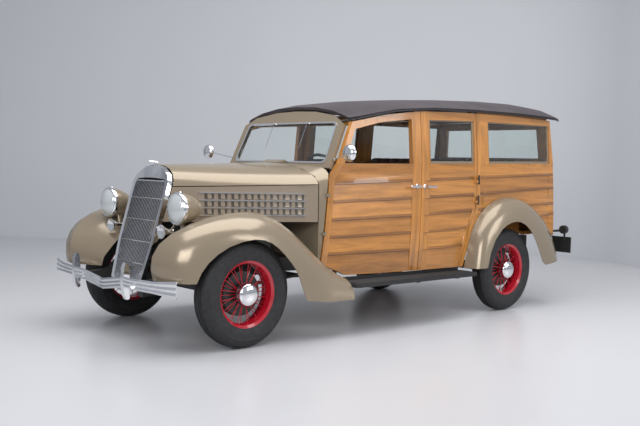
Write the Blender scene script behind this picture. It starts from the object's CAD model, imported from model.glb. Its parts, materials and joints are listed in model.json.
import json
import math

import bmesh
import bpy
from bpy.props import FloatProperty, FloatVectorProperty, PointerProperty
from mathutils import Matrix, Vector


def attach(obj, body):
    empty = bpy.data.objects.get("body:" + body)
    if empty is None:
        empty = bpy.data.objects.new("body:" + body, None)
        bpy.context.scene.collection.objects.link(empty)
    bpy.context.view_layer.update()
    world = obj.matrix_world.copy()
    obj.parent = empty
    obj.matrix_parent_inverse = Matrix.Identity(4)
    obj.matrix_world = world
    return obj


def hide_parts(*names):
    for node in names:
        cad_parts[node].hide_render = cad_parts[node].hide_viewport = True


bl_info = {
    "name": "Wood-bodied station wagon",
    "version": (1, 0, 0),
    "blender": (4, 5, 0),
    "location": "View3D > Sidebar > Wagon",
    "description": "Finishes and fine pieces of a wood-bodied station wagon of the 1930s",
    "category": "Object",
}

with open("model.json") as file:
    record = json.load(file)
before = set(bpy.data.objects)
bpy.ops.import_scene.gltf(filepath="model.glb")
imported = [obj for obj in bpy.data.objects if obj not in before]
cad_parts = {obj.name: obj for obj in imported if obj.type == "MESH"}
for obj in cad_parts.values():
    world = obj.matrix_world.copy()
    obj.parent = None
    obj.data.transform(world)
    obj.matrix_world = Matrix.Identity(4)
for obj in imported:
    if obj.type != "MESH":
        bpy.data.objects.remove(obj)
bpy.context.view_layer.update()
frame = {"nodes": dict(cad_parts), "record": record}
NODES = frame["nodes"]
AXLE_X = 1.6385
WELD = 0.00002
SHARP_ANGLE = math.radians(38)


# Shader maths
class Sock:
    """One output socket; arithmetic on it adds Math nodes."""

    def __init__(self, shader, socket):
        self.shader = shader
        self.socket = socket

    def _math(self, operation, *values):
        return self.shader.add("ShaderNodeMath", {"operation": operation}, dict(enumerate(values)))

    def __add__(self, other):
        return self._math("ADD", self, other)

    def __sub__(self, other):
        return self._math("SUBTRACT", self, other)

    def __rsub__(self, other):
        return self._math("SUBTRACT", other, self)

    def at_least(self, other):
        return self._math("MAXIMUM", self, other)

    def at_most(self, other):
        return self._math("MINIMUM", self, other)

    def __mul__(self, other):
        return self._math("MULTIPLY", self, other)

    def __truediv__(self, other):
        return self._math("DIVIDE", self, other)

    def __gt__(self, other):
        return self._math("GREATER_THAN", self, other)

    def __lt__(self, other):
        return self._math("LESS_THAN", self, other)

    __radd__ = __add__
    __rmul__ = __mul__

    def wave(self):
        return self._math("SINE", self)

    def size(self):
        return self._math("ABSOLUTE", self)

    def part(self):
        return self._math("FRACT", self)


class Shader:
    """A material under construction; add makes any node from its type, settings and inputs."""

    def __init__(self, name):
        self.material = bpy.data.materials.new(name)
        self.material.use_nodes = True
        self.tree = self.material.node_tree
        self.surface = self.tree.nodes["Principled BSDF"]
        self.place = self.add("ShaderNodeTexCoord", {}, {}, "Object")

    def add(self, kind, settings, inputs, output=0):
        node = self.tree.nodes.new(kind)
        for key, value in settings.items():
            if key == "stops":
                ramp = node.color_ramp
                while len(ramp.elements) < len(value):
                    ramp.elements.new(1)
                for element, (position, colour) in zip(ramp.elements, value):
                    element.position = position
                    element.color = (*colour, 1) if len(colour) == 3 else colour
            else:
                setattr(node, key, value)
        for key, value in inputs.items():
            self.feed(node.inputs[key], value)
        return Sock(self, node.outputs[output])

    def feed(self, socket, value):
        if isinstance(value, Sock):
            self.tree.links.new(value.socket, socket)
        elif socket.type == "RGBA" and len(value) == 3:
            socket.default_value = (*value, 1)
        else:
            socket.default_value = value

    def mapped(self, scale):
        return self.add("ShaderNodeMapping", {}, {"Vector": self.place, "Scale": scale})

    def noise(self, scale, detail=3.0, vector=None, roughness=0.5, distortion=0.0):
        return self.add(
            "ShaderNodeTexNoise",
            {},
            {
                "Vector": vector or self.place,
                "Scale": scale,
                "Detail": detail,
                "Roughness": roughness,
                "Distortion": distortion,
            },
        )

    def split(self):
        return [self.add("ShaderNodeSeparateXYZ", {}, {0: self.place}, axis) for axis in "XYZ"]

    def mix(self, share, first, second, blend="MIX"):
        return self.add(
            "ShaderNodeMix",
            {"data_type": "RGBA", "blend_type": blend},
            {0: share, 6: first, 7: second},
            2,
        )

    def ramp(self, value, stops):
        return self.add("ShaderNodeValToRGB", {"stops": stops}, {0: value})

    def bump(self, height, strength, distance):
        return self.add(
            "ShaderNodeBump", {}, {"Height": height, "Strength": strength, "Distance": distance}
        )

    def finish(self, **values):
        for key, value in values.items():
            self.feed(self.surface.inputs[key.replace("_", " ")], value)
        return self.material


def span(value, low, high):
    """A noise value of about 0.3 to 0.7 stretched from low to high."""
    return (value - 0.5) * ((high - low) * 2) + (low + high) / 2


def named(name):
    """A finish made once, by the function of FINISHES under its name."""
    return bpy.data.materials.get(name) or FINISHES[name](name)


# Louvres of the bonnet sides, from the front axle
LOUVRE_REAR = -0.660
LOUVRE_PITCH = 0.045
LOUVRES = 16
LOUVRE_LOW = 0.8445
BAND_PITCH = 0.052
BANDS = 3
SLOT_SHARE = 0.42
BAND_EDGE = 0.14


def body_paint(name, slotted=False):
    settings = bpy.context.scene.wagon_colours
    shader = Shader(name)
    cloud = shader.noise(2.5, 2)
    fine = shader.noise(900, 2)
    base = tuple(settings.paint)
    deep = tuple(channel * 0.93 for channel in base)
    colour = shader.mix(span(cloud, 0, 1), deep, base)
    if slotted:
        x, _, z = shader.split()
        run = (x - AXLE_X - LOUVRE_REAR) / LOUVRE_PITCH
        rise = (z - LOUVRE_LOW) / BAND_PITCH
        inside = (run > 0) * (run < LOUVRES) * (rise > 0) * (rise < BANDS)
        slot = inside * (run.part() < SLOT_SHARE) * (rise.part() < 1 - BAND_EDGE) * (rise.part() > BAND_EDGE)
        colour = shader.mix(slot * 0.85, colour, (0.012, 0.010, 0.008))
    return shader.finish(
        Base_Color=colour,
        Roughness=span(fine, 0.22, 0.30),
        Coat_Weight=0.9,
        Coat_Roughness=0.04,
        Normal=shader.bump(shader.noise(14, 1), 0.02, 0.01),
    )


def louvred_paint(name):
    return body_paint(name, slotted=True)


# Heights of the laps between boards, and the upright edges of the doors, from the front axle
LAP_LINES = (
    ((-0.740, 0.556), (-1.290, 0.561), (-2.100, 0.568), (-2.600, 0.600), (-3.450, 0.620), (-3.700, 0.624)),
    ((-0.740, 0.678), (-1.290, 0.690), (-2.100, 0.707), (-3.000, 0.771), (-3.700, 0.821)),
    ((-0.740, 0.805), (-1.290, 0.823), (-2.100, 0.849), (-3.000, 0.895), (-3.700, 0.915)),
    ((-0.740, 0.934), (-1.290, 0.955), (-2.100, 0.986), (-3.000, 1.028), (-3.700, 1.061)),
    ((-0.740, 1.065), (-1.290, 1.091), (-2.100, 1.125), (-3.000, 1.161), (-3.700, 1.186)),
)
DOOR_EDGES = (
    # height and place of a seam, and how far its frame reaches ahead of it and behind it
    (((0.400, -0.770), (1.110, -0.826), (1.231, -0.911), (1.517, -1.034), (1.560, -1.052)), 0.300, 0.050),
    (((0.400, -1.755), (1.700, -1.755)), 0.100, 0.100),
    (((0.400, -2.280), (0.690, -2.351), (0.925, -2.457), (1.700, -2.457)), 0.033, 0.045),
)
BODY_REACH = (-3.9, 0.3)
BODY_HEIGHT = (0.3, 1.9)
CURVE_SPAN = 8.0
GROOVE_HALF = 0.0040
BEVEL_TALL = 0.022
WINDOW_BAND = (1.262, 1.585)
MIDDLE_SEAM = -1.755
REAR_SEAM = -2.457
# Steps of the boards' tint: from board to board, and past each seam
BOARD_STEP = 0.618
MIDDLE_STEP = 0.37
REAR_STEP = 0.29


def curve(shader, value, table, reach):
    """A table read by a shader: value runs over reach, and a ramp's grey stands for the output."""
    low, high = reach
    share = (value - low) / (high - low)
    stops = tuple(
        ((place - low) / (high - low), (spot / CURVE_SPAN + 0.5,) * 3) for place, spot in sorted(table)
    )
    return (shader.ramp(share, stops) - 0.5) * CURVE_SPAN


def grain(shader, axis):
    """Varnished timber with its run along one axis: the rings' colour and the fine fibres."""
    settings = bpy.context.scene.wagon_colours
    scale = [24.0, 24.0, 24.0]
    scale[axis] = 1.3
    rings = shader.noise(1.0, 4, shader.mapped(tuple(scale)), 0.55, 0.5)
    fine = [230.0, 230.0, 230.0]
    fine[axis] = 5.0
    fibre = shader.noise(1.0, 2, shader.mapped(tuple(fine)))
    base = tuple(settings.wood)
    stops = tuple(
        (place, tuple(min(1, channel * gain) for channel in base))
        for place, gain in ((0.30, 0.66), (0.50, 1.0), (0.74, 1.34))
    )
    return shader.ramp(rings, stops), fibre


def timber(name):
    """Lapped boards in upright frames: the run of the grain, a tint for each board, dark laps."""
    settings = bpy.context.scene.wagon_colours
    shader = Shader(name)
    x, _, z = shader.split()
    x = x - AXLE_X
    along_colour, along_fibre = grain(shader, 0)
    up_colour, up_fibre = grain(shader, 2)
    low, high = WINDOW_BAND
    upright = (z > low) * (z < high)
    for table, ahead, behind in DOOR_EDGES:
        seam = curve(shader, z, table, BODY_HEIGHT)
        upright = upright.at_least((x > seam - behind) * (x < seam + ahead))
    groove = 0
    shade = 0
    board = 0
    for table in LAP_LINES:
        height = curve(shader, x, table, BODY_REACH)
        rise = z - height
        groove = (1 - rise.size() / GROOVE_HALF).at_least(0) + groove
        shade = (rise > 0) * (rise < BEVEL_TALL) + shade
        board = (z > height) + board
    groove = (groove + shade * 0.6).at_most(1) * (1 - upright)
    tint = (board * BOARD_STEP + (x < MIDDLE_SEAM) * MIDDLE_STEP + (x < REAR_SEAM) * REAR_STEP).part()
    colour = shader.mix(upright, along_colour, up_colour)
    gain = shader.mix(tint, (0.78, 0.76, 0.74), (1.12, 1.12, 1.10))
    colour = shader.mix(1 - upright * 0.6, colour, gain, "MULTIPLY")
    fibre = up_fibre * upright + along_fibre * (1 - upright)
    colour = shader.mix(span(fibre, 0.0, 0.16), colour, tuple(settings.wood_dark))
    return shader.finish(
        Base_Color=shader.mix(groove * 0.85, colour, tuple(channel * 0.35 for channel in settings.wood_dark)),
        Roughness=span(fibre, 0.24, 0.38),
        Coat_Weight=0.7,
        Coat_Roughness=0.07,
        Normal=shader.bump(fibre, 0.08, 0.0006),
    )


def roof_cloth(name):
    shader = Shader(name)
    grain = shader.noise(420, 3)
    cloud = shader.noise(5, 3)
    return shader.finish(
        Base_Color=shader.mix(span(cloud, 0, 1), (0.030, 0.022, 0.026), (0.062, 0.048, 0.052)),
        Roughness=span(grain, 0.42, 0.58),
        Normal=shader.bump(grain, 0.35, 0.0015),
    )


def chrome(name):
    shader = Shader(name)
    haze = shader.noise(30, 4)
    return shader.finish(
        Base_Color=shader.mix(span(haze, 0, 1), (0.76, 0.76, 0.78), (0.84, 0.84, 0.85)),
        Metallic=1.0,
        Roughness=span(haze, 0.05, 0.12),
    )


def wheel_red(name):
    shader = Shader(name)
    cloud = shader.noise(20, 2)
    base = tuple(bpy.context.scene.wagon_colours.wheel)
    return shader.finish(
        Base_Color=shader.mix(span(cloud, 0, 1), tuple(channel * 0.85 for channel in base), base),
        Roughness=span(cloud, 0.20, 0.30),
        Coat_Weight=0.7,
        Coat_Roughness=0.05,
    )


def rubber(name):
    shader = Shader(name)
    dust = shader.noise(35, 4)
    fine = shader.noise(600, 2)
    return shader.finish(
        Base_Color=shader.mix(span(dust, 0, 1), (0.010, 0.010, 0.011), (0.024, 0.024, 0.025)),
        Roughness=span(fine, 0.55, 0.75),
        Normal=shader.bump(fine, 0.15, 0.0005),
    )


def black_steel(name):
    shader = Shader(name)
    cloud = shader.noise(60, 3)
    return shader.finish(
        Base_Color=shader.mix(span(cloud, 0, 1), (0.012, 0.012, 0.013), (0.030, 0.030, 0.031)),
        Roughness=span(cloud, 0.32, 0.50),
        Normal=shader.bump(shader.noise(300, 2), 0.1, 0.0006),
    )


def clear_glass(name):
    shader = Shader(name)
    haze = shader.noise(3, 2)
    return shader.finish(
        Base_Color=shader.mix(span(haze, 0, 1), (0.88, 0.94, 0.92), (0.93, 0.97, 0.96)),
        Roughness=0.0,
        IOR=1.45,
        Transmission_Weight=1.0,
    )


def leather(name):
    shader = Shader(name)
    hide = shader.add(
        "ShaderNodeTexVoronoi", {"feature": "DISTANCE_TO_EDGE"}, {0: shader.place, "Scale": 320.0}
    )
    cloud = shader.noise(7, 3)
    return shader.finish(
        Base_Color=shader.mix(span(cloud, 0, 1), (0.055, 0.024, 0.012), (0.11, 0.05, 0.024)),
        Roughness=span(cloud, 0.38, 0.52),
        Normal=shader.bump(hide, 0.35, 0.001),
    )


def lens(name):
    """Pressed glass with upright flutes over a bright reflector."""
    shader = Shader(name)
    across = shader.split()[1]
    flutes = (across * 520).wave()
    return shader.finish(
        Base_Color=shader.mix(span(flutes * 0.2 + 0.5, 0.2, 0.9), (0.42, 0.45, 0.46), (0.80, 0.83, 0.83)),
        Metallic=0.35,
        Roughness=0.12,
        Coat_Weight=1.0,
        Coat_Roughness=0.03,
        Normal=shader.bump(flutes, 0.35, 0.0012),
    )


def tail_red(name):
    shader = Shader(name)
    cloud = shader.noise(80, 2)
    return shader.finish(
        Base_Color=shader.mix(span(cloud, 0, 1), (0.30, 0.004, 0.006), (0.42, 0.010, 0.010)),
        Roughness=0.10,
        Coat_Weight=1.0,
        Coat_Roughness=0.03,
    )


def drip_black(name):
    shader = Shader(name)
    fine = shader.noise(300, 2)
    return shader.finish(
        Base_Color=shader.mix(span(fine, 0, 1), (0.008, 0.007, 0.008), (0.018, 0.016, 0.018)),
        Roughness=span(fine, 0.32, 0.45),
    )


def iron(name):
    shader = Shader(name)
    cast = shader.noise(240, 4)
    return shader.finish(
        Base_Color=shader.mix(span(cast, 0, 1), (0.06, 0.07, 0.065), (0.12, 0.13, 0.12)),
        Roughness=span(cast, 0.5, 0.7),
        Metallic=0.4,
        Normal=shader.bump(cast, 0.3, 0.001),
    )


FINISHES = {
    "body_paint": body_paint,
    "louvred_paint": louvred_paint,
    "timber": timber,
    "roof_cloth": roof_cloth,
    "chrome": chrome,
    "wheel_red": wheel_red,
    "rubber": rubber,
    "black_steel": black_steel,
    "clear_glass": clear_glass,
    "leather": leather,
    "iron": iron,
    "lens": lens,
    "tail_red": tail_red,
    "drip_black": drip_black,
}
SLOT_FINISH = {
    "body_paint": "body_paint",
    "body_wood": "timber",
    "roof_cover": "roof_cloth",
    "bright_metal": "chrome",
    "wheel_paint": "wheel_red",
    "tyre": "rubber",
    "black_steel": "black_steel",
    "step_rubber": "rubber",
    "window_glass": "clear_glass",
    "seat_leather": "leather",
    "engine_iron": "iron",
    "wheel_rim_plastic": "black_steel",
}


# Sizes and colours that a user would change
class WagonColours(bpy.types.PropertyGroup):
    paint: FloatVectorProperty(
        name="Paint", description="Colour of the painted sheet metal", subtype="COLOR",
        size=3, default=(0.270, 0.214, 0.155), min=0, max=1,
    )
    wood: FloatVectorProperty(
        name="Wood", description="Colour of the varnished boards", subtype="COLOR",
        size=3, default=(0.510, 0.218, 0.046), min=0, max=1,
    )
    wood_dark: FloatVectorProperty(
        name="Dark wood", description="Colour of the grain lines", subtype="COLOR",
        size=3, default=(0.220, 0.070, 0.016), min=0, max=1,
    )
    wheel: FloatVectorProperty(
        name="Wheels", description="Colour of the wire wheels", subtype="COLOR",
        size=3, default=(0.480, 0.006, 0.020), min=0, max=1,
    )
    floor: FloatVectorProperty(
        name="Floor", description="Colour of the studio floor", subtype="COLOR",
        size=3, default=(0.60, 0.60, 0.62), min=0, max=1,
    )


class WagonCamera(bpy.types.PropertyGroup):
    place: FloatVectorProperty(
        name="Place", description="Camera's place, from the point under the car's middle",
        subtype="XYZ", unit="LENGTH", size=3, default=(5.0821, 5.1685, 1.1889),
    )
    yaw: FloatProperty(
        name="Yaw", description="Heading of the view from +X", subtype="ANGLE", default=-2.3170
    )
    pitch: FloatProperty(
        name="Pitch", description="Rise of the view", subtype="ANGLE", default=-0.0520
    )
    roll: FloatProperty(
        name="Roll", description="Turn about the view", subtype="ANGLE", default=0.0293
    )
    lens: FloatProperty(
        name="Lens", description="Focal length in millimetres", subtype="NONE", default=48.48
    )


# Stage
FLOOR_HALF = 24.0
WALL_HEIGHT = 9.0
WALL_LINE = (
    (14.0, -22.0), (-0.29, -7.90), (-5.50, -2.78), (-6.00, -2.20), (-6.22, -1.75), (-6.25, -1.30),
    (-6.10, -0.90), (-5.69, -0.25), (-5.40, 0.25),
)
WALL_COLOUR = (0.62, 0.63, 0.65)
WALL_ROUGHNESS = 0.7
FLOOR_ROUGHNESS = 0.30
SKY_COLOUR = (0.80, 0.84, 0.92, 1)
SKY_STRENGTH = 0.50
FILM_WIDTH = 36.0
LIGHTS = (
    # name, place, size, strength, aim
    ("overhead", (0.5, 1.0, 5.2), (7.0, 4.5), 330.0, (0.0, 0.0, 0.0)),
    ("front", (6.5, 4.5, 3.4), (3.5, 2.5), 170.0, (0.8, 0.0, 0.8)),
    ("side", (-2.5, 6.8, 3.2), (5.0, 2.2), 150.0, (-0.5, 0.0, 0.8)),
)


def stage_finish(name, base, roughness):
    shader = Shader(name)
    cloud = shader.noise(0.35, 3)
    scuff = shader.noise(3.0, 4)
    deep = tuple(channel * 0.96 for channel in base)
    return shader.finish(
        Base_Color=shader.mix(span(cloud, 0, 1), deep, base),
        Roughness=span(scuff, roughness - 0.02, roughness + 0.02),
    )


def plane(name, corners, material, columns=2):
    """A band of faces between a lower and an upper row of corners."""
    shape = bmesh.new()
    verts = [shape.verts.new(corner) for corner in corners]
    for index in range(columns - 1):
        shape.faces.new((verts[index], verts[index + 1], verts[-index - 2], verts[-index - 1]))
    mesh = bpy.data.meshes.new(name)
    shape.to_mesh(mesh)
    shape.free()
    mesh.shade_smooth()
    mesh.materials.append(material)
    obj = bpy.data.objects.new(name, mesh)
    bpy.context.scene.collection.objects.link(obj)
    return obj


class WAGON_OT_stage(bpy.types.Operator):
    """Add the floor, the wall, the lamps and the camera"""

    bl_idname = "wagon.stage"
    bl_label = "Stage"

    def execute(self, context):
        floor = stage_finish("studio_floor", tuple(context.scene.wagon_colours.floor), FLOOR_ROUGHNESS)
        wall = stage_finish("studio_wall", WALL_COLOUR, WALL_ROUGHNESS)
        far = FLOOR_HALF
        plane("floor", ((-far, -far, 0), (far, -far, 0), (far, far, 0), (-far, far, 0)), floor)
        low_edge = [(*spot, 0) for spot in WALL_LINE]
        high_edge = [(*spot, WALL_HEIGHT) for spot in WALL_LINE]
        corners = low_edge + high_edge[::-1]
        plane("wall", corners, wall, len(WALL_LINE))
        for name, place, size, strength, aim in LIGHTS:
            lamp = bpy.data.lights.new(name, "AREA")
            lamp.shape = "RECTANGLE"
            lamp.size, lamp.size_y = size
            lamp.energy = strength
            obj = bpy.data.objects.new(name, lamp)
            obj.location = place
            obj.rotation_euler = (Vector(aim) - Vector(place)).to_track_quat("-Z", "Y").to_euler()
            context.scene.collection.objects.link(obj)
        world = bpy.data.worlds.new("studio")
        context.scene.world = world
        world.use_nodes = True
        sky = world.node_tree.nodes["Background"]
        sky.inputs["Color"].default_value = SKY_COLOUR
        sky.inputs["Strength"].default_value = SKY_STRENGTH
        settings = context.scene.wagon_camera
        camera = bpy.data.cameras.new("camera")
        camera.lens = settings.lens
        camera.sensor_width = FILM_WIDTH
        obj = bpy.data.objects.new("camera", camera)
        look = Vector((math.cos(settings.yaw), math.sin(settings.yaw), 0)) * math.cos(settings.pitch)
        look.z = math.sin(settings.pitch)
        level = look.to_track_quat("-Z", "Y").to_matrix().to_4x4()
        turn = Matrix.Rotation(settings.roll, 4, "Z")
        obj.matrix_world = Matrix.Translation(settings.place) @ level @ turn
        context.scene.collection.objects.link(obj)
        context.scene.camera = obj
        context.scene.view_settings.view_transform = "Standard"
        return {"FINISHED"}


def soften(obj):
    """Join the facets' corners and shade the round faces smooth up to the sharp angle."""
    mesh = obj.data
    mesh.attributes.remove(mesh.attributes["custom_normal"])
    mesh.shade_smooth()
    weld = obj.modifiers.new("weld", "WELD")
    weld.merge_threshold = WELD
    split = obj.modifiers.new("edges", "EDGE_SPLIT")
    split.split_angle = SHARP_ANGLE


class WAGON_OT_finishes(bpy.types.Operator):
    """Give every solid that stays in view the finish of its material slot"""

    bl_idname = "wagon.finishes"
    bl_label = "Finishes"

    def execute(self, context):
        for part in frame["record"]["subparts"]:
            obj = NODES[part["node"]]
            obj.data.materials.clear()
            finish = SLOT_FINISH[part["material_slot"]]
            if part["node"].startswith("hood_side"):
                finish = "louvred_paint"
            obj.data.materials.append(named(finish))
            soften(obj)
        return {"FINISHED"}


# Lines of the body, from the front axle: x or z, value
BODY_PLAN = (
    (-0.600, 0.600), (-0.800, 0.640), (-1.200, 0.686), (-1.750, 0.718), (-2.400, 0.728),
    (-3.000, 0.725), (-3.750, 0.700),
)
BODY_LEAN = (
    (0.300, 0.026), (0.600, 0.004), (0.800, 0.000), (1.100, 0.002), (1.250, 0.008), (1.720, 0.046),
)
BELT_LINE = ((-1.160, 1.233), (-2.090, 1.255), (-2.780, 1.272), (-3.700, 1.295))
WINDOW_TOP = (
    (-1.050, 1.478), (-1.100, 1.496), (-1.326, 1.550), (-1.600, 1.588), (-2.400, 1.620), (-3.700, 1.645),
)
ROOF_LINE = (
    (-1.008, 1.539), (-1.184, 1.579), (-1.434, 1.632), (-1.780, 1.671), (-2.157, 1.688),
    (-2.560, 1.698), (-3.080, 1.704), (-3.900, 1.700),
)
ROOF_EDGE = (
    (-1.020, 0.570), (-1.100, 0.640), (-1.250, 0.668), (-1.700, 0.690), (-2.400, 0.706),
    (-3.300, 0.706), (-3.650, 0.690), (-3.850, 0.610),
)
HOOD_WIDTH = ((0.240, 0.236), (0.000, 0.325), (-0.350, 0.448), (-0.660, 0.553), (-0.757, 0.603))
GRILLE_HALF = (
    (0.385, 0.1132), (0.422, 0.1612), (0.514, 0.1752), (0.659, 0.1942), (0.803, 0.1932),
    (0.950, 0.1942), (1.050, 0.1892), (1.076, 0.1692),
)


def along(table, place):
    """A table's value at a place, straight between its rows."""
    rows = sorted(table)
    if place <= rows[0][0]:
        return rows[0][1]
    for (low, first), (high, second) in zip(rows, rows[1:]):
        if place <= high:
            return first + (second - first) * (place - low) / (high - low)
    return rows[-1][1]


def body_y(x, z):
    """Half the body's width at a place and height."""
    return along(BODY_PLAN, x) - along(BODY_LEAN, z)


# Shapes
def point(x, y, z):
    """A point given from the front axle, in the row frame."""
    return Vector((x + AXLE_X, y, z))


def turned(shape, profile, centre, axis, steps, loop=False):
    """A profile of radius and place turned about an axis through centre."""
    axis = Vector(axis)
    across = Vector((0, 0, 1))
    verts = [shape.verts.new(centre + across * radius + axis * place) for radius, place in profile]
    edges = [shape.edges.new(pair) for pair in zip(verts, verts[1:])]
    if loop:
        edges.append(shape.edges.new((verts[-1], verts[0])))
    bmesh.ops.spin(
        shape, geom=verts + edges, cent=centre, axis=axis, angle=2 * math.pi, steps=steps, use_merge=True,
    )
    bmesh.ops.remove_doubles(shape, verts=shape.verts, dist=WELD)


def bar(shape, start, end, radius, sides=8, end_radius=None):
    """A round bar between two points, tapered where end_radius is given."""
    way = end - start
    place = Matrix.Translation((start + end) / 2) @ way.to_track_quat("Z", "Y").to_matrix().to_4x4()
    bmesh.ops.create_cone(
        shape, cap_ends=True, segments=sides, radius1=radius,
        radius2=radius if end_radius is None else end_radius, depth=way.length, matrix=place,
    )


def block(shape, low, high, edge=0, segments=2):
    """A box between two corners, its edges rounded where edge is given."""
    size = high - low
    place = Matrix.Translation((low + high) / 2) @ Matrix.Diagonal((*size, 1))
    made = bmesh.ops.create_cube(shape, size=1, matrix=place)
    if edge:
        edges = list({line for vert in made["verts"] for line in vert.link_edges})
        bmesh.ops.bevel(
            shape, geom=edges, offset=edge, segments=segments, profile=0.5, affect="EDGES", material=-1,
        )


def strip(shape, rings, closed=False):
    """A bar drawn out from ring to ring of corners; a closed one meets its own start."""
    face = shape.faces.new([shape.verts.new(corner) for corner in rings[0]])
    following = [*rings[1:], rings[0]] if closed else rings[1:]
    before = rings[0]
    for ring in following:
        drawn = bmesh.ops.extrude_face_region(shape, geom=[face])["geom"]
        face = next(item for item in drawn if isinstance(item, bmesh.types.BMFace))
        fresh = list(face.verts)
        corners = [min(fresh, key=lambda vert: (vert.co - spot).length) for spot in before]
        for vert, spot in zip(corners, ring):
            vert.co = spot
        before = ring
    if closed:
        bmesh.ops.delete(shape, geom=[face], context="FACES_ONLY")
        bmesh.ops.remove_doubles(shape, verts=shape.verts, dist=WELD)


def flat_ring(place, across, up, half_wide, half_high):
    """Four corners about a place."""
    corners = ((-1, -1), (1, -1), (1, 1), (-1, 1))
    return [place + across * (half_wide * a) + up * (half_high * b) for a, b in corners]


def made(name, shape, finish, body, slot, hides=()):
    """A piece from a finished shape: normals out, shaded, given its finish and its body."""
    bmesh.ops.recalc_face_normals(shape, faces=shape.faces)
    mesh = bpy.data.meshes.new(name)
    shape.to_mesh(mesh)
    shape.free()
    mesh.shade_smooth()
    mesh.set_sharp_from_angle(angle=SHARP_ANGLE)
    mesh.materials.append(named(finish))
    obj = bpy.data.objects.new(name, mesh)
    bpy.context.scene.collection.objects.link(obj)
    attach(obj, body)
    if hides:
        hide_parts(*hides)
    return obj


# Wheels: name, body, x, y, z, side
WHEELS = (
    ("front_left", "wheel_front_left", 0.0, 0.716, 0.355, (0, 1, 0)),
    ("front_right", "wheel_front_right", 0.0, -0.716, 0.355, (0, -1, 0)),
    ("rear_left", "wheel_rear_left", -2.845, 0.730, 0.355, (0, 1, 0)),
    ("rear_right", "wheel_rear_right", -2.845, -0.730, 0.355, (0, -1, 0)),
)
SPARE = ("spare", "tailgate", -3.845, 0.0, 0.885, (-1, 0, 0))
TYRE_SIDE = (
    (0.207, 0.049), (0.2225, 0.064), (0.250, 0.0760), (0.268, 0.0785), (0.285, 0.0790),
    (0.297, 0.0775), (0.300, 0.0788), (0.303, 0.0770), (0.322, 0.0730), (0.336, 0.0630),
    (0.345, 0.0510), (0.3515, 0.0420), (0.3535, 0.0340), (0.3480, 0.0330), (0.3480, 0.0290),
    (0.3545, 0.0280), (0.3548, 0.0170), (0.3490, 0.0160), (0.3490, 0.0120), (0.3550, 0.0110),
)
RIM = (
    (0.2260, 0.0600), (0.2080, 0.0520), (0.2066, 0.0500), (0.2066, -0.0500), (0.2080, -0.0520),
    (0.2260, -0.0600), (0.2245, -0.0630), (0.2200, -0.0630), (0.2035, -0.0500), (0.2010, -0.0300),
    (0.1960, -0.0200), (0.1950, 0.0200), (0.2010, 0.0300), (0.2035, 0.0500), (0.2200, 0.0630),
    (0.2245, 0.0630),
)
HUB = ((0.0, -0.010), (0.046, -0.010), (0.047, 0.000), (0.047, 0.026), (0.060, 0.031), (0.0, 0.031))
DRUM = (
    (0.0240, -0.0163), (0.1455, -0.0163), (0.1455, -0.0700), (0.1500, -0.0700), (0.1500, -0.0140),
    (0.1460, -0.0090), (0.0900, -0.0040), (0.0240, -0.0040),
)
CAP = (
    (0.0, 0.032), (0.072, 0.032), (0.079, 0.034), (0.080, 0.040), (0.080, 0.062), (0.078, 0.072),
    (0.071, 0.082), (0.058, 0.090), (0.040, 0.0955), (0.020, 0.0990), (0.0, 0.1000),
)
SPOKE_PAIRS = 16
SPOKE_RADIUS = 0.0028
SPOKE_SIDES = 6
SPOKE_SWING = 7
SPOKE_INNER = 0.044
SPOKE_OUTER = 0.199
SPOKE_HUB_PLACES = (0.000, 0.024)
SPOKE_RIM_PLACES = (-0.010, 0.010)
SPARE_ARM = 0.178
SPARE_ARM_RADIUS = 0.040
SPARE_ARM_SIDES = 24
ROUND_STEPS = 64


def add_wheel(name, body, x, y, z, side):
    centre = point(x, y, z)
    side = Vector(side)
    across = Vector((0, 0, 1)).cross(side)
    spare = name == "spare"
    shape = bmesh.new()
    profile = list(TYRE_SIDE) + [(radius, -place) for radius, place in reversed(TYRE_SIDE)]
    turned(shape, profile, centre, side, ROUND_STEPS, loop=True)
    made("fine_tyre_" + name, shape, "rubber", body, "tyre", ("spare_tyre" if spare else "tyre_" + name,))
    shape = bmesh.new()
    turned(shape, RIM, centre, side, ROUND_STEPS, loop=True)
    turned(shape, HUB, centre, side, ROUND_STEPS // 2)
    for index in range(2 * SPOKE_PAIRS):
        angle = math.pi * index / SPOKE_PAIRS
        swing = math.radians(SPOKE_SWING if index % 4 < 2 else -SPOKE_SWING)
        out = across * math.cos(angle) + Vector((0, 0, math.sin(angle)))
        root = across * math.cos(angle + swing) + Vector((0, 0, math.sin(angle + swing)))
        inner = centre + root * SPOKE_INNER + side * SPOKE_HUB_PLACES[index % 2]
        outer = centre + out * SPOKE_OUTER + side * SPOKE_RIM_PLACES[index % 2]
        bar(shape, inner, outer, SPOKE_RADIUS, SPOKE_SIDES)
    if spare:
        bar(shape, centre - side * SPARE_ARM, centre, SPARE_ARM_RADIUS, SPARE_ARM_SIDES)
    made(
        "fine_wheel_" + name, shape, "wheel_red", body, "wheel_paint",
        ("spare_wheel" if spare else "wheel_" + name,),
    )
    if not spare:
        shape = bmesh.new()
        turned(shape, DRUM, centre, side, ROUND_STEPS, loop=True)
        made("drum_" + name, shape, "black_steel", body, "black_steel")
    shape = bmesh.new()
    turned(shape, CAP, centre, side, ROUND_STEPS)
    made("cap_" + name, shape, "chrome", body, "bright_metal")


class WAGON_OT_wheels(bpy.types.Operator):
    """Add tyres with ribbed tread, rims, spokes, drums and bare caps"""

    bl_idname = "wagon.wheels"
    bl_label = "Wheels"

    def execute(self, context):
        for row in (*WHEELS, SPARE):
            add_wheel(*row)
        return {"FINISHED"}


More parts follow.
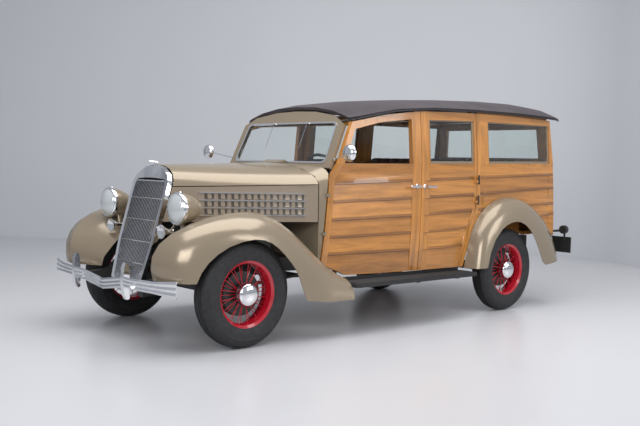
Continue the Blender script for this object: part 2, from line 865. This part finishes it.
# Lamps and horns, on the left; the right ones mirror them
LAMP = (0.345, 0.443, 0.898)
LAMP_SHELL = (
    (0.0, -0.2000), (0.018, -0.1960), (0.036, -0.1820), (0.056, -0.1580), (0.074, -0.1300),
    (0.087, -0.1000), (0.096, -0.0700), (0.102, -0.0450), (0.105, -0.0220), (0.100, -0.0180), (0.0, -0.0180),
)
LAMP_RIM = (
    (0.1040, -0.0240), (0.1085, -0.0200), (0.1090, -0.0060), (0.1060, 0.0020), (0.1000, 0.0060),
    (0.0950, 0.0050), (0.0950, -0.0040),
)
LAMP_LENS = (
    (0.0, 0.0400), (0.030, 0.0380), (0.055, 0.0310), (0.078, 0.0190), (0.090, 0.0100), (0.096, 0.0030),
    (0.096, -0.0040), (0.0, -0.0040),
)
HORN = (0.386, 0.329, 0.743)
HORN_BELL = (
    (0.0, -0.0300), (0.010, -0.0280), (0.018, -0.0220), (0.028, -0.0150), (0.038, -0.0060),
    (0.0450, -0.0010), (0.0470, -0.0020), (0.0465, -0.0060), (0.040, -0.0160), (0.028, -0.0320),
    (0.019, -0.0520), (0.0150, -0.0720), (0.0140, -0.0950), (0.0, -0.0980),
)
HORN_RINGS = ((0.0, -0.0285), (0.007, -0.0230), (0.013, -0.0240), (0.016, -0.0300), (0.0, -0.0320))
AHEAD = Vector((1, 0, 0))
LAMP_STEPS = 48
HORN_STEPS = 40
RING_STEPS = 24
# Stalk and horn arm: place of the two ends on the left, from the front axle
STALK = ((0.265, 0.408, 0.640), (0.265, 0.408, 0.850))
STALK_RADII = (0.020, 0.016)
STALK_SIDES = 20
HORN_ARM = ((0.310, 0.329, 0.743), (0.290, 0.410, 0.850))
HORN_ARM_RADIUS = 0.007
HORN_ARM_SIDES = 12
# Bright buttons of the lamp's shell: place from the lamp's centre, and radius
LAMP_BUTTONS = (((-0.030, 0, 0.104), 0.010), ((-0.198, 0, 0), 0.009))
BALL_STEPS = (16, 10)
TAIL_LAMP = (-3.862, 0.720, 0.672)
TAIL_STEPS = 32
TAIL_LENS = ((0.0, 0.0120), (0.020, 0.0105), (0.032, 0.0060), (0.034, 0.0), (0.0, 0.0))
TAIL_RING = ((0.033, 0.0), (0.033, 0.0060), (0.037, 0.0080), (0.0405, 0.0040), (0.0405, 0.0))


def mirrored(spot, side):
    """A point of the left side, or its like on the right."""
    x, y, z = spot
    return point(x, y * side, z)


def ball(shape, centre, radius):
    around, up = BALL_STEPS
    bmesh.ops.create_uvsphere(
        shape, u_segments=around, v_segments=up, radius=radius, matrix=Matrix.Translation(centre)
    )


def add_lamp(name, side):
    centre = mirrored(LAMP, side)
    shape = bmesh.new()
    turned(shape, LAMP_SHELL, centre, AHEAD, LAMP_STEPS)
    stalk = [mirrored(spot, side) for spot in STALK]
    bar(shape, *stalk, STALK_RADII[0], STALK_SIDES, STALK_RADII[1])
    arm = [mirrored(spot, side) for spot in HORN_ARM]
    bar(shape, *arm, HORN_ARM_RADIUS, HORN_ARM_SIDES)
    made("lamp_shell_" + name, shape, "body_paint", "body", "body_paint", ("headlight_" + name,))
    shape = bmesh.new()
    turned(shape, LAMP_RIM, centre, AHEAD, LAMP_STEPS, loop=True)
    for place, radius in LAMP_BUTTONS:
        ball(shape, centre + Vector(place), radius)
    made("lamp_rim_" + name, shape, "chrome", "body", "bright_metal")
    shape = bmesh.new()
    turned(shape, LAMP_LENS, centre, AHEAD, LAMP_STEPS)
    made("lamp_lens_" + name, shape, "lens", "body", "window_glass")
    centre = mirrored(HORN, side)
    shape = bmesh.new()
    turned(shape, HORN_BELL, centre, AHEAD, HORN_STEPS)
    turned(shape, HORN_RINGS, centre, AHEAD, RING_STEPS)
    made("horn_" + name, shape, "chrome", "body", "bright_metal")


class WAGON_OT_lamps(bpy.types.Operator):
    """Add the headlights, their lenses and rims, the horns and the tail lamp's lens"""

    bl_idname = "wagon.lamps"
    bl_label = "Lamps and horns"

    def execute(self, context):
        add_lamp("left", 1)
        add_lamp("right", -1)
        centre = point(*TAIL_LAMP)
        shape = bmesh.new()
        turned(shape, TAIL_LENS, centre, -AHEAD, TAIL_STEPS)
        made("tail_lens", shape, "tail_red", "body", "wheel_paint")
        shape = bmesh.new()
        turned(shape, TAIL_RING, centre, -AHEAD, TAIL_STEPS, loop=True)
        made("tail_rim", shape, "chrome", "body", "bright_metal")
        return {"FINISHED"}


# Grille, bonnet strips and windscreen frame
ACROSS = Vector((0, 1, 0))
UP = Vector((0, 0, 1))
GRILLE_BARS = 21
BAR_HALF_WIDE = 0.0030
BAR_HALF_DEEP = 0.0060
BAR_BACK = 0.012
CROSS_BACK = 0.008
CROSS_RADIUS = 0.0042
CROSS_SIDES = 8
CROSS_HEIGHTS = (0.391, 0.514, 0.659, 0.803, 0.950, 1.070)
CORE_HEIGHTS = (0.500, 0.659, 0.803, 0.950, 1.050)
CORE_BACK = 0.045
CORE_MARGIN = 0.008
CORE_HALF = 0.003
# The grille leans back: its face at a height, from the front axle
GRILLE_FACE = 0.268
GRILLE_LEAN = 0.271
GRILLE_TOP = 1.083


def grille_x(z):
    return GRILLE_FACE - GRILLE_LEAN * (z - GRILLE_TOP)


def add_grille():
    shape = bmesh.new()
    for index in range(GRILLE_BARS):
        share = index / (GRILLE_BARS - 1) * 2 - 1
        rings = []
        for z, half in GRILLE_HALF:
            place = point(grille_x(z) - BAR_BACK, share * (half - BAR_HALF_WIDE), z)
            rings.append(flat_ring(place, ACROSS, AHEAD, BAR_HALF_WIDE, BAR_HALF_DEEP))
        strip(shape, rings)
    for z in CROSS_HEIGHTS:
        half = along(GRILLE_HALF, z) - BAR_HALF_WIDE
        x = grille_x(z) - CROSS_BACK
        bar(shape, point(x, -half, z), point(x, half, z), CROSS_RADIUS, CROSS_SIDES)
    made("fine_grille", shape, "chrome", "body", "bright_metal", ("grille",))
    shape = bmesh.new()
    rings = []
    for z in CORE_HEIGHTS:
        place = point(grille_x(z) - CORE_BACK, 0, z)
        rings.append(flat_ring(place, ACROSS, AHEAD, along(GRILLE_HALF, z) - CORE_MARGIN, CORE_HALF))
    strip(shape, rings)
    made("radiator_core", shape, "black_steel", "body", "black_steel")


STRIP_HEIGHTS = (0.8445, 0.8965, 0.9485, 1.0005)
STRIP_PLACES = (0.075, 0.000, -0.150, -0.350, -0.500, -0.672)
STRIP_HALF_DEEP = 0.0035
STRIP_HALF_TALL = 0.0030
# The bonnet's side spreads this much from its crease down to its foot
SIDE_CREASE = 1.048
SIDE_TALL = 0.248
SIDE_SPREAD = 0.006


def add_strips(name, side):
    shape = bmesh.new()
    for z in STRIP_HEIGHTS:
        spread = SIDE_SPREAD * max(0, (SIDE_CREASE - z) / SIDE_TALL)
        rings = []
        for x in STRIP_PLACES:
            place = point(x, (along(HOOD_WIDTH, x) + spread + STRIP_HALF_DEEP) * side, z)
            rings.append(flat_ring(place, ACROSS * side, UP, STRIP_HALF_DEEP, STRIP_HALF_TALL))
        strip(shape, rings)
    made("hood_strips_" + name, shape, "chrome", "body", "bright_metal")


# Windscreen: foot, slope, half widths at the foot and the head, height up the slope
SCREEN_FOOT = (-0.872, 0, 1.228)
SCREEN_UP = Vector((-0.135, 0, 0.302)).normalized()
SCREEN_OUT = Vector((0.302, 0, 0.135)).normalized()
SCREEN_HALF_LOW = 0.538
SCREEN_HALF_HIGH = 0.523
SCREEN_RUN = 0.3308
SCREEN_CORNER = 0.040
CORNER_STEPS = 6
FRAME_OUTER = -0.006
FRAME_INNER = 0.007
# Faces of the bright frame from the glass: outer back, outer front, inner front, inner back
FRAME_FACES = (0.003, 0.009, 0.008, -0.004)
WIPER_SIDE = 0.20
WIPER_RISE = 0.325
WIPER_OUT = 0.012
WIPER_ARM = 0.21
WIPER_PIVOT = (0.010, 0.009, 16)
WIPER_ARM_OUTS = (0.007, 0.001)
WIPER_ARM_RADIUS = 0.0022
WIPER_ARM_SIDES = 8


def screen_outline(inset):
    """The rounded edge of the windscreen: across, and up the glass."""
    low = SCREEN_HALF_LOW - inset
    high = SCREEN_HALF_HIGH - inset
    top = SCREEN_RUN - inset
    spots = []
    for across, up, turn in ((low, inset, 270), (high, top, 0), (-high, top, 90), (-low, inset, 180)):
        centre_y = across - math.copysign(SCREEN_CORNER, across)
        centre_up = up + (SCREEN_CORNER if turn in (270, 180) else -SCREEN_CORNER)
        for step in range(CORNER_STEPS + 1):
            angle = math.radians(turn + step * 90 / CORNER_STEPS)
            across_spot = centre_y + SCREEN_CORNER * math.cos(angle)
            spots.append((across_spot, centre_up + SCREEN_CORNER * math.sin(angle)))
    return spots


def add_screen():
    base = point(*SCREEN_FOOT)
    shape = bmesh.new()
    rings = []
    for outer, inner in zip(screen_outline(FRAME_OUTER), screen_outline(FRAME_INNER)):
        corners = []
        for (across, up), out in zip((outer, outer, inner, inner), FRAME_FACES):
            corners.append(base + ACROSS * across + SCREEN_UP * up + SCREEN_OUT * out)
        rings.append(corners)
    strip(shape, rings, closed=True)
    made("screen_frame", shape, "chrome", "body", "bright_metal")
    shape = bmesh.new()
    long, radius, sides = WIPER_PIVOT
    near, far = WIPER_ARM_OUTS
    for side in (1, -1):
        foot = base + ACROSS * (WIPER_SIDE * side) + SCREEN_UP * WIPER_RISE + SCREEN_OUT * WIPER_OUT
        bar(shape, foot, foot + SCREEN_OUT * long, radius, sides)
        tip = foot + SCREEN_OUT * far - SCREEN_UP * WIPER_ARM
        bar(shape, foot + SCREEN_OUT * near, tip, WIPER_ARM_RADIUS, WIPER_ARM_SIDES)
    made("wipers", shape, "chrome", "body", "bright_metal")


class WAGON_OT_front(bpy.types.Operator):
    """Add the grille's bars, the bonnet's bright strips and the windscreen's frame and wipers"""

    bl_idname = "wagon.front"
    bl_label = "Grille and windscreen"

    def execute(self, context):
        add_grille()
        add_strips("left", 1)
        add_strips("right", -1)
        add_screen()
        return {"FINISHED"}


# Window sashes: name, body, front x, rear x
SASHES = (
    ("rear_door", "door_rear", -1.855, -2.424),
    ("quarter", "body", -2.618, -3.589),
)
SASH_WIDE = 0.020
SASH_TOP_WIDE = 0.010
SASH_STEPS = 6
# Depths of the sash's faces inside the body's surface
SASH_FRONT = 0.0085
SASH_BACK = 0.0158


def sash_ring(x, z, inset_x, inset_z, side):
    """Four corners of the sash's section: outer front, inner front, inner back, outer back."""
    outer = (x, z)
    inner = (x + inset_x, z + inset_z)
    depths = (SASH_FRONT, SASH_FRONT, SASH_BACK, SASH_BACK)
    corners = []
    for (spot_x, spot_z), depth in zip((outer, inner, inner, outer), depths):
        corners.append(point(spot_x, side * (body_y(spot_x, spot_z) - depth), spot_z))
    return corners


def add_sash(name, body, front, rear, side):
    places = [front + (rear - front) * step / SASH_STEPS for step in range(SASH_STEPS + 1)]
    turns = [-SASH_WIDE] + [0] * (SASH_STEPS - 1) + [SASH_WIDE]
    columns = list(zip(places, turns))
    rings = [sash_ring(x, along(BELT_LINE, x), turn, SASH_WIDE, side) for x, turn in columns]
    for x, turn in reversed(columns):
        rings.append(sash_ring(x, along(WINDOW_TOP, x), turn, -SASH_TOP_WIDE, side))
    shape = bmesh.new()
    strip(shape, rings, closed=True)
    made(name, shape, "body_paint", body, "body_paint")


# Door handles: name, body, x, way
HANDLES = (("front", "door_front", -1.708, 1), ("rear", "door_rear", -1.800, -1))
HANDLE_Z = 1.068
# Rose, post: from and to, out of the body's side, radius, sides, outer radius
HANDLE_ROSE = (-0.002, 0.004, 0.021, 24, 0.017)
HANDLE_POST = (0.002, 0.0395, 0.0115, 20, 0.0115)
LEVER_OUT = 0.030
LEVER_BACK = 0.012
LEVER_LONG = 0.100
LEVER_RADII = (0.0100, 0.0090)
LEVER_SIDES = 20
LEVER_BALL = 0.0095


def add_handle(name, body, x, way, side):
    y = body_y(x, HANDLE_Z)
    shape = bmesh.new()
    for low, high, radius, sides, end_radius in (HANDLE_ROSE, HANDLE_POST):
        ends = [point(x, side * (y + out), HANDLE_Z) for out in (low, high)]
        bar(shape, *ends, radius, sides, end_radius)
    lever = side * (y + LEVER_OUT)
    tip = point(x + way * LEVER_LONG, lever, HANDLE_Z)
    bar(shape, point(x - way * LEVER_BACK, lever, HANDLE_Z), tip, LEVER_RADII[0], LEVER_SIDES, LEVER_RADII[1])
    ball(shape, tip, LEVER_BALL)
    made(name, shape, "chrome", body, "bright_metal")


REAR_HINGE = (-2.452, 0.748)
REAR_HINGE_HEIGHTS = (0.960, 1.130)
HINGE_REACH = 0.032
HINGE_GAP = 0.0006
HINGE_RADIUS = 0.0085
HINGE_SIDES = 20
HINGE_BALL = 0.0084
HINGE_BALL_STEPS = (16, 8)


def add_hinges(name, side, way, body):
    """Dark covers of the rear door's hinge barrels: way is -1 for the door's half, below."""
    x, y = REAR_HINGE
    around, up = HINGE_BALL_STEPS
    shape = bmesh.new()
    for z in REAR_HINGE_HEIGHTS:
        tip = point(x, side * y, z + way * HINGE_REACH)
        bar(shape, point(x, side * y, z + way * HINGE_GAP), tip, HINGE_RADIUS, HINGE_SIDES)
        bmesh.ops.create_uvsphere(
            shape, u_segments=around, v_segments=up, radius=HINGE_BALL, matrix=Matrix.Translation(tip)
        )
    made(name, shape, "black_steel", body, "black_steel")


MIRROR = (-0.810, 0.848, 1.300)
MIRROR_HEAD = (
    (0.0, 0.0300), (0.025, 0.0270), (0.044, 0.0190), (0.056, 0.0080), (0.0610, -0.0040),
    (0.0610, -0.0110), (0.056, -0.0125), (0.055, -0.0110), (0.0, -0.0110),
)
# Running board: ribs from x to x, inner place, width of the field, rib's half width, heights
BOARD_REACH = (-2.285, -0.935)
BOARD_INNER = 0.715
BOARD_FIELD = 0.150
BOARD_RIBS = 11
RIB_HALF = 0.0045
RIB_HEIGHTS = (0.3715, 0.3752)
RIB_EDGE = 0.0015
# Apron between the running board and the body
APRON_REACH = (-2.300, -0.930)
APRON_Y = 0.676
APRON_HALF = 0.004
APRON_HEIGHTS = (0.340, 0.396)
# Rail between the quarter panel and the roof
RAIL_PLACES = (-2.475, -2.700, -3.000, -3.300, -3.580)
RAIL_IN = 0.022
RAIL_DOWN = 0.012
RAIL_HALVES = (0.010, 0.018)
# Drip lip under the roof's edge
LIP_OUT = 0.001
LIP_UP = 0.006
LIP_HALVES = (0.0045, 0.0055)
LIP_PLACES = (
    -1.050, -1.100, -1.180, -1.300, -1.434, -1.600, -1.780, -1.960, -2.157, -2.400, -2.700, -3.000,
    -3.300, -3.500, -3.650, -3.750, -3.835,
)


def add_board(tag, side):
    rear, front = BOARD_REACH
    low, high = RIB_HEIGHTS
    shape = bmesh.new()
    for index in range(BOARD_RIBS):
        y = side * (BOARD_INNER + BOARD_FIELD * index / (BOARD_RIBS - 1))
        block(shape, point(rear, y - RIB_HALF, low), point(front, y + RIB_HALF, high), RIB_EDGE, 1)
    made("board_ribs_" + tag, shape, "rubber", "body", "step_rubber")
    rear, front = APRON_REACH
    low, high = APRON_HEIGHTS
    y = side * APRON_Y
    shape = bmesh.new()
    block(shape, point(rear, y - APRON_HALF, low), point(front, y + APRON_HALF, high))
    made("board_apron_" + tag, shape, "black_steel", "body", "black_steel")


def add_eaves(tag, side):
    """The rail over the quarter panel and the drip lip along the roof."""
    shape = bmesh.new()
    rings = []
    for x in RAIL_PLACES:
        z = along(ROOF_LINE, x)
        place = point(x, side * (body_y(x, z) - RAIL_IN), z - RAIL_DOWN)
        rings.append(flat_ring(place, ACROSS * side, UP, *RAIL_HALVES))
    strip(shape, rings)
    made("roof_rail_" + tag, shape, "timber", "body", "body_wood")
    shape = bmesh.new()
    rings = []
    for x in LIP_PLACES:
        place = point(x, side * (along(ROOF_EDGE, x) + LIP_OUT), along(ROOF_LINE, x) + LIP_UP)
        rings.append(flat_ring(place, ACROSS * side, UP, *LIP_HALVES))
    strip(shape, rings)
    made("drip_lip_" + tag, shape, "drip_black", "body", "roof_cover")


class WAGON_OT_sides(bpy.types.Operator):
    """Add sashes, door handles, hinge covers, mirror heads, the boards' ribs and aprons, and the eaves"""

    bl_idname = "wagon.sides"
    bl_label = "Sides"

    def execute(self, context):
        for tag, side in (("left", 1), ("right", -1)):
            for name, body, front, rear in SASHES:
                owner = body if body == "body" else body + "_" + tag
                add_sash("sash_" + name + "_" + tag, owner, front, rear, side)
            for name, body, x, way in HANDLES:
                add_handle("handle_" + name + "_" + tag, body + "_" + tag, x, way, side)
            add_hinges("hinge_door_" + tag, side, -1, "door_rear_" + tag)
            add_hinges("hinge_post_" + tag, side, 1, "body")
            shape = bmesh.new()
            turned(shape, MIRROR_HEAD, mirrored(MIRROR, side), AHEAD, HORN_STEPS)
            made("mirror_head_" + tag, shape, "chrome", "body", "bright_metal")
            add_board(tag, side)
            add_eaves(tag, side)
        return {"FINISHED"}


# Benches: name, front, rear, cushion top, cushion low, back top, half width, floor, base front
BENCHES = (
    ("seat_front", -1.330, -1.820, 0.800, 0.670, 1.250, 0.560, 0.562, -1.390),
    ("seat_middle", -2.100, -2.560, 0.900, 0.800, 1.300, 0.520, 0.666, -2.300),
    ("seat_rear", -2.950, -3.400, 0.940, 0.810, 1.320, 0.520, 0.666, -3.010),
)
BACK_THICK = 0.120
TUCK = 0.020
PLEATS = 9
PLEAT_LAP = 0.004
CUSHION_ROUND = 0.030
BACK_ROUND = 0.034
ROUND_SEGMENTS = 4
# Base: in from the back, in from the sides, up into the cushion, rounding
BASE_IN = 0.020
BASE_SIDE = 0.040
BASE_UP = 0.010
BASE_ROUND = 0.004


def pleated(name, low, high, half, rounding, hides=()):
    """A padded leather row of pleats between two corners given as x and z."""
    pitch = 2 * half / PLEATS
    shape = bmesh.new()
    for index in range(PLEATS):
        y = -half + pitch * index
        start = point(low[0], y - PLEAT_LAP, low[1])
        end = point(high[0], y + pitch + PLEAT_LAP, high[1])
        block(shape, start, end, rounding, ROUND_SEGMENTS)
    seat = made(name, shape, "leather", "body", "seat_leather", hides)


class WAGON_OT_seats(bpy.types.Operator):
    """Add pleated leather benches on their bases"""

    bl_idname = "wagon.seats"
    bl_label = "Seats"

    def execute(self, context):
        for name, front, rear, top, low, back_top, half, floor, base_front in BENCHES:
            face = rear + BACK_THICK
            pleated(name + "_cushion", (face - TUCK, low), (front, top), half, CUSHION_ROUND, (name,))
            pleated(name + "_back", (rear, low - TUCK), (face, back_top), half, BACK_ROUND)
            shape = bmesh.new()
            start = point(rear + BASE_IN, -half + BASE_SIDE, floor)
            block(shape, start, point(base_front, half - BASE_SIDE, low + BASE_UP), BASE_ROUND, 1)
            made(name + "_base", shape, "black_steel", "body", "black_steel")
        return {"FINISHED"}


class WAGON_PT_panel(bpy.types.Panel):
    """The wagon's sizes, colours and steps"""

    bl_label = "Wagon"
    bl_idname = "WAGON_PT_panel"
    bl_space_type = "VIEW_3D"
    bl_region_type = "UI"
    bl_category = "Wagon"

    def draw(self, context):
        for group in (context.scene.wagon_colours, context.scene.wagon_camera):
            for key in group.__annotations__:
                self.layout.prop(group, key)
        for step in STEPS:
            self.layout.operator(step.bl_idname)


STEPS = (
    WAGON_OT_finishes,
    WAGON_OT_wheels,
    WAGON_OT_lamps,
    WAGON_OT_front,
    WAGON_OT_sides,
    WAGON_OT_seats,
    WAGON_OT_stage,
)
CLASSES = (WagonColours, WagonCamera, *STEPS, WAGON_PT_panel)


def register():
    for item in CLASSES:
        bpy.utils.register_class(item)
    bpy.types.Scene.wagon_colours = PointerProperty(type=WagonColours)
    bpy.types.Scene.wagon_camera = PointerProperty(type=WagonCamera)


def unregister():
    del bpy.types.Scene.wagon_camera
    del bpy.types.Scene.wagon_colours
    for item in reversed(CLASSES):
        bpy.utils.unregister_class(item)


def main():
    register()
    for step in STEPS:
        group, name = step.bl_idname.split(".")
        getattr(getattr(bpy.ops, group), name)()


if __name__ == "__main__":
    main()
